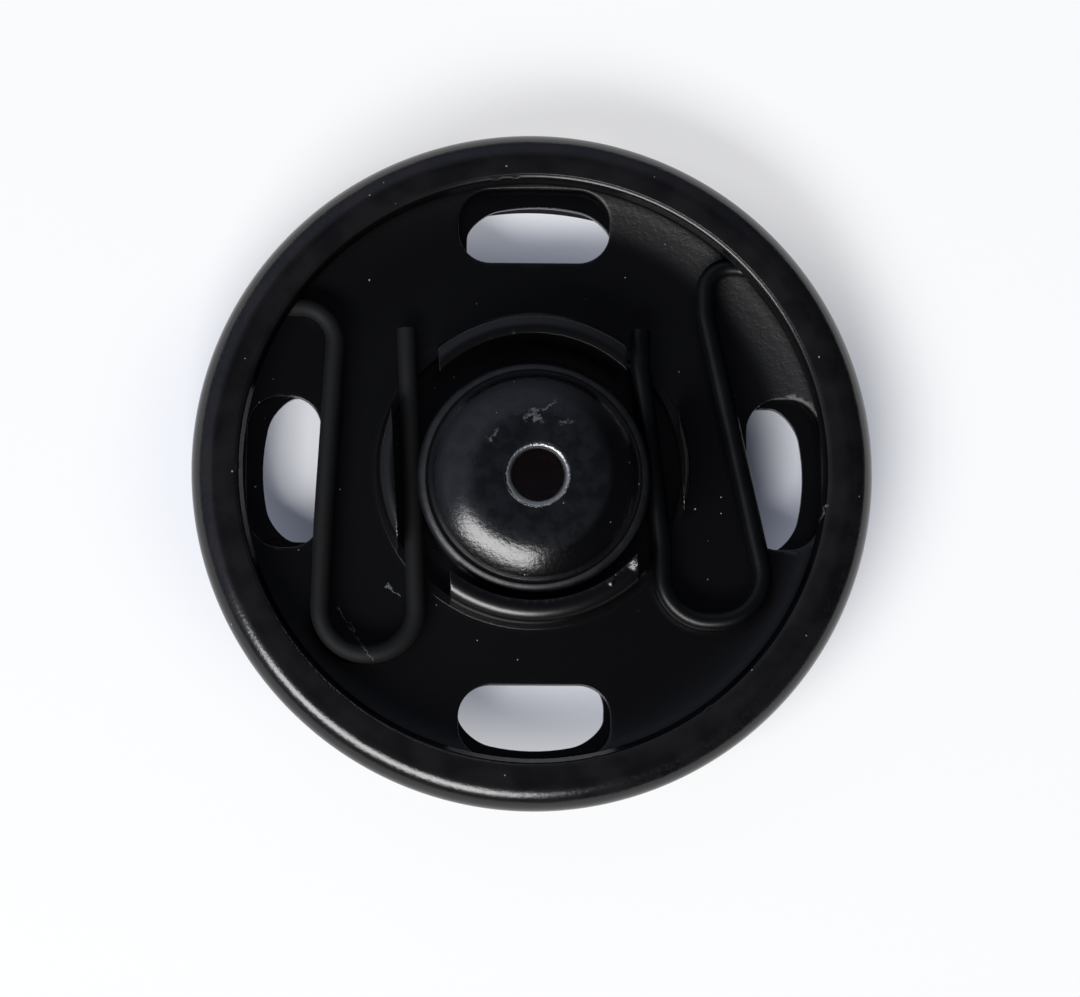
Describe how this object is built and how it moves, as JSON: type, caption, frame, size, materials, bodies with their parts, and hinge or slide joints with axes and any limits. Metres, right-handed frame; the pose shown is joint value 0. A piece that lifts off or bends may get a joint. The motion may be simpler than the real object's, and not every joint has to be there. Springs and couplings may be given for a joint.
{
  "type": "snap fastener",
  "caption": "Round black sew-on snap fastener, its halves pressed together: rolled rims, sewing slots, and a ball gripped in a raised hub by bent wire springs.",
  "frame": {"origin": "On the socket half's axis, at the height of the ball half's lowest edge, where the fastener lies on the table.", "axes": "+Z along the fastener's axis, from the ball half to the socket half's open back. +Y along the springs' straight legs, towards their free ends. +X to the right in the picture."},
  "size_m": [0.03, 0.03, 0.0052],
  "materials": {
    "ball_half": "black lacquer on stamped sheet, satin gloss",
    "socket_half": "black lacquer on stamped sheet, satin gloss, worn on the rim",
    "spring": "black coated spring wire, satin gloss"
  },
  "bodies": {
    "ball_body": {"ball_half": "ball_half"},
    "socket_body": {"socket_half": "socket_half", "spring_left": "spring", "spring_right": "spring"}
  },
  "joints": [
    {"name": "pull_apart", "type": "slide", "parent": "ball_body", "child": "socket_body", "axis": [0, 0, 1], "range_m": [0, 0.006], "deforming": ["spring_left", "spring_right"]}
  ]
}
